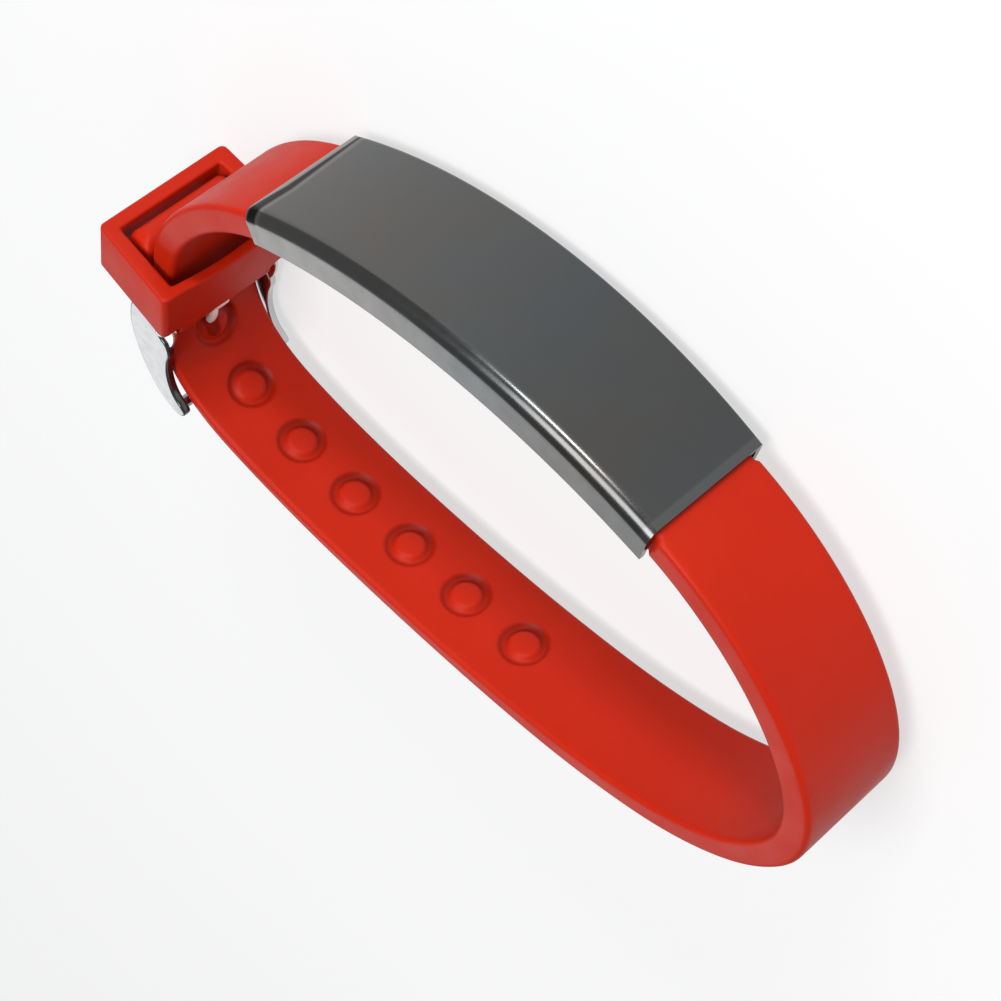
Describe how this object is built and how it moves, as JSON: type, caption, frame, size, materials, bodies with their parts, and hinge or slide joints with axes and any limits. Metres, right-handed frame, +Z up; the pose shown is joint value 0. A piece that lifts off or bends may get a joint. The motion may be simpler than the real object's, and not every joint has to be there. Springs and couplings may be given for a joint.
{
  "type": "silicone bracelet",
  "caption": "Soft silicone bracelet fastened into an oval wrist loop by a metal pin buckle, with a bare curved metal plate, moulded rings on the wrist side and a loose keeper.",
  "frame": {"origin": "centre of the bounding box in plan, on the surface that the bracelet rests on", "axes": "the loop lies on its side edge in the XY plane: +X toward the buckle end, -Y toward the plate's outer face, +Z up, along the band's width"},
  "size_m": [0.0838, 0.0477, 0.0153],
  "materials": {
    "red_silicone": "soft satin, orange red",
    "dark_steel": "smooth dark gunmetal",
    "polished_steel": "polished"
  },
  "bodies": {
    "root": {"band": "red_silicone", "plate": "dark_steel", "keeper_loop": "red_silicone", "buckle_frame": "polished_steel", "buckle_tongue": "polished_steel", "spring_bar": "polished_steel"}
  },
  "joints": []
}
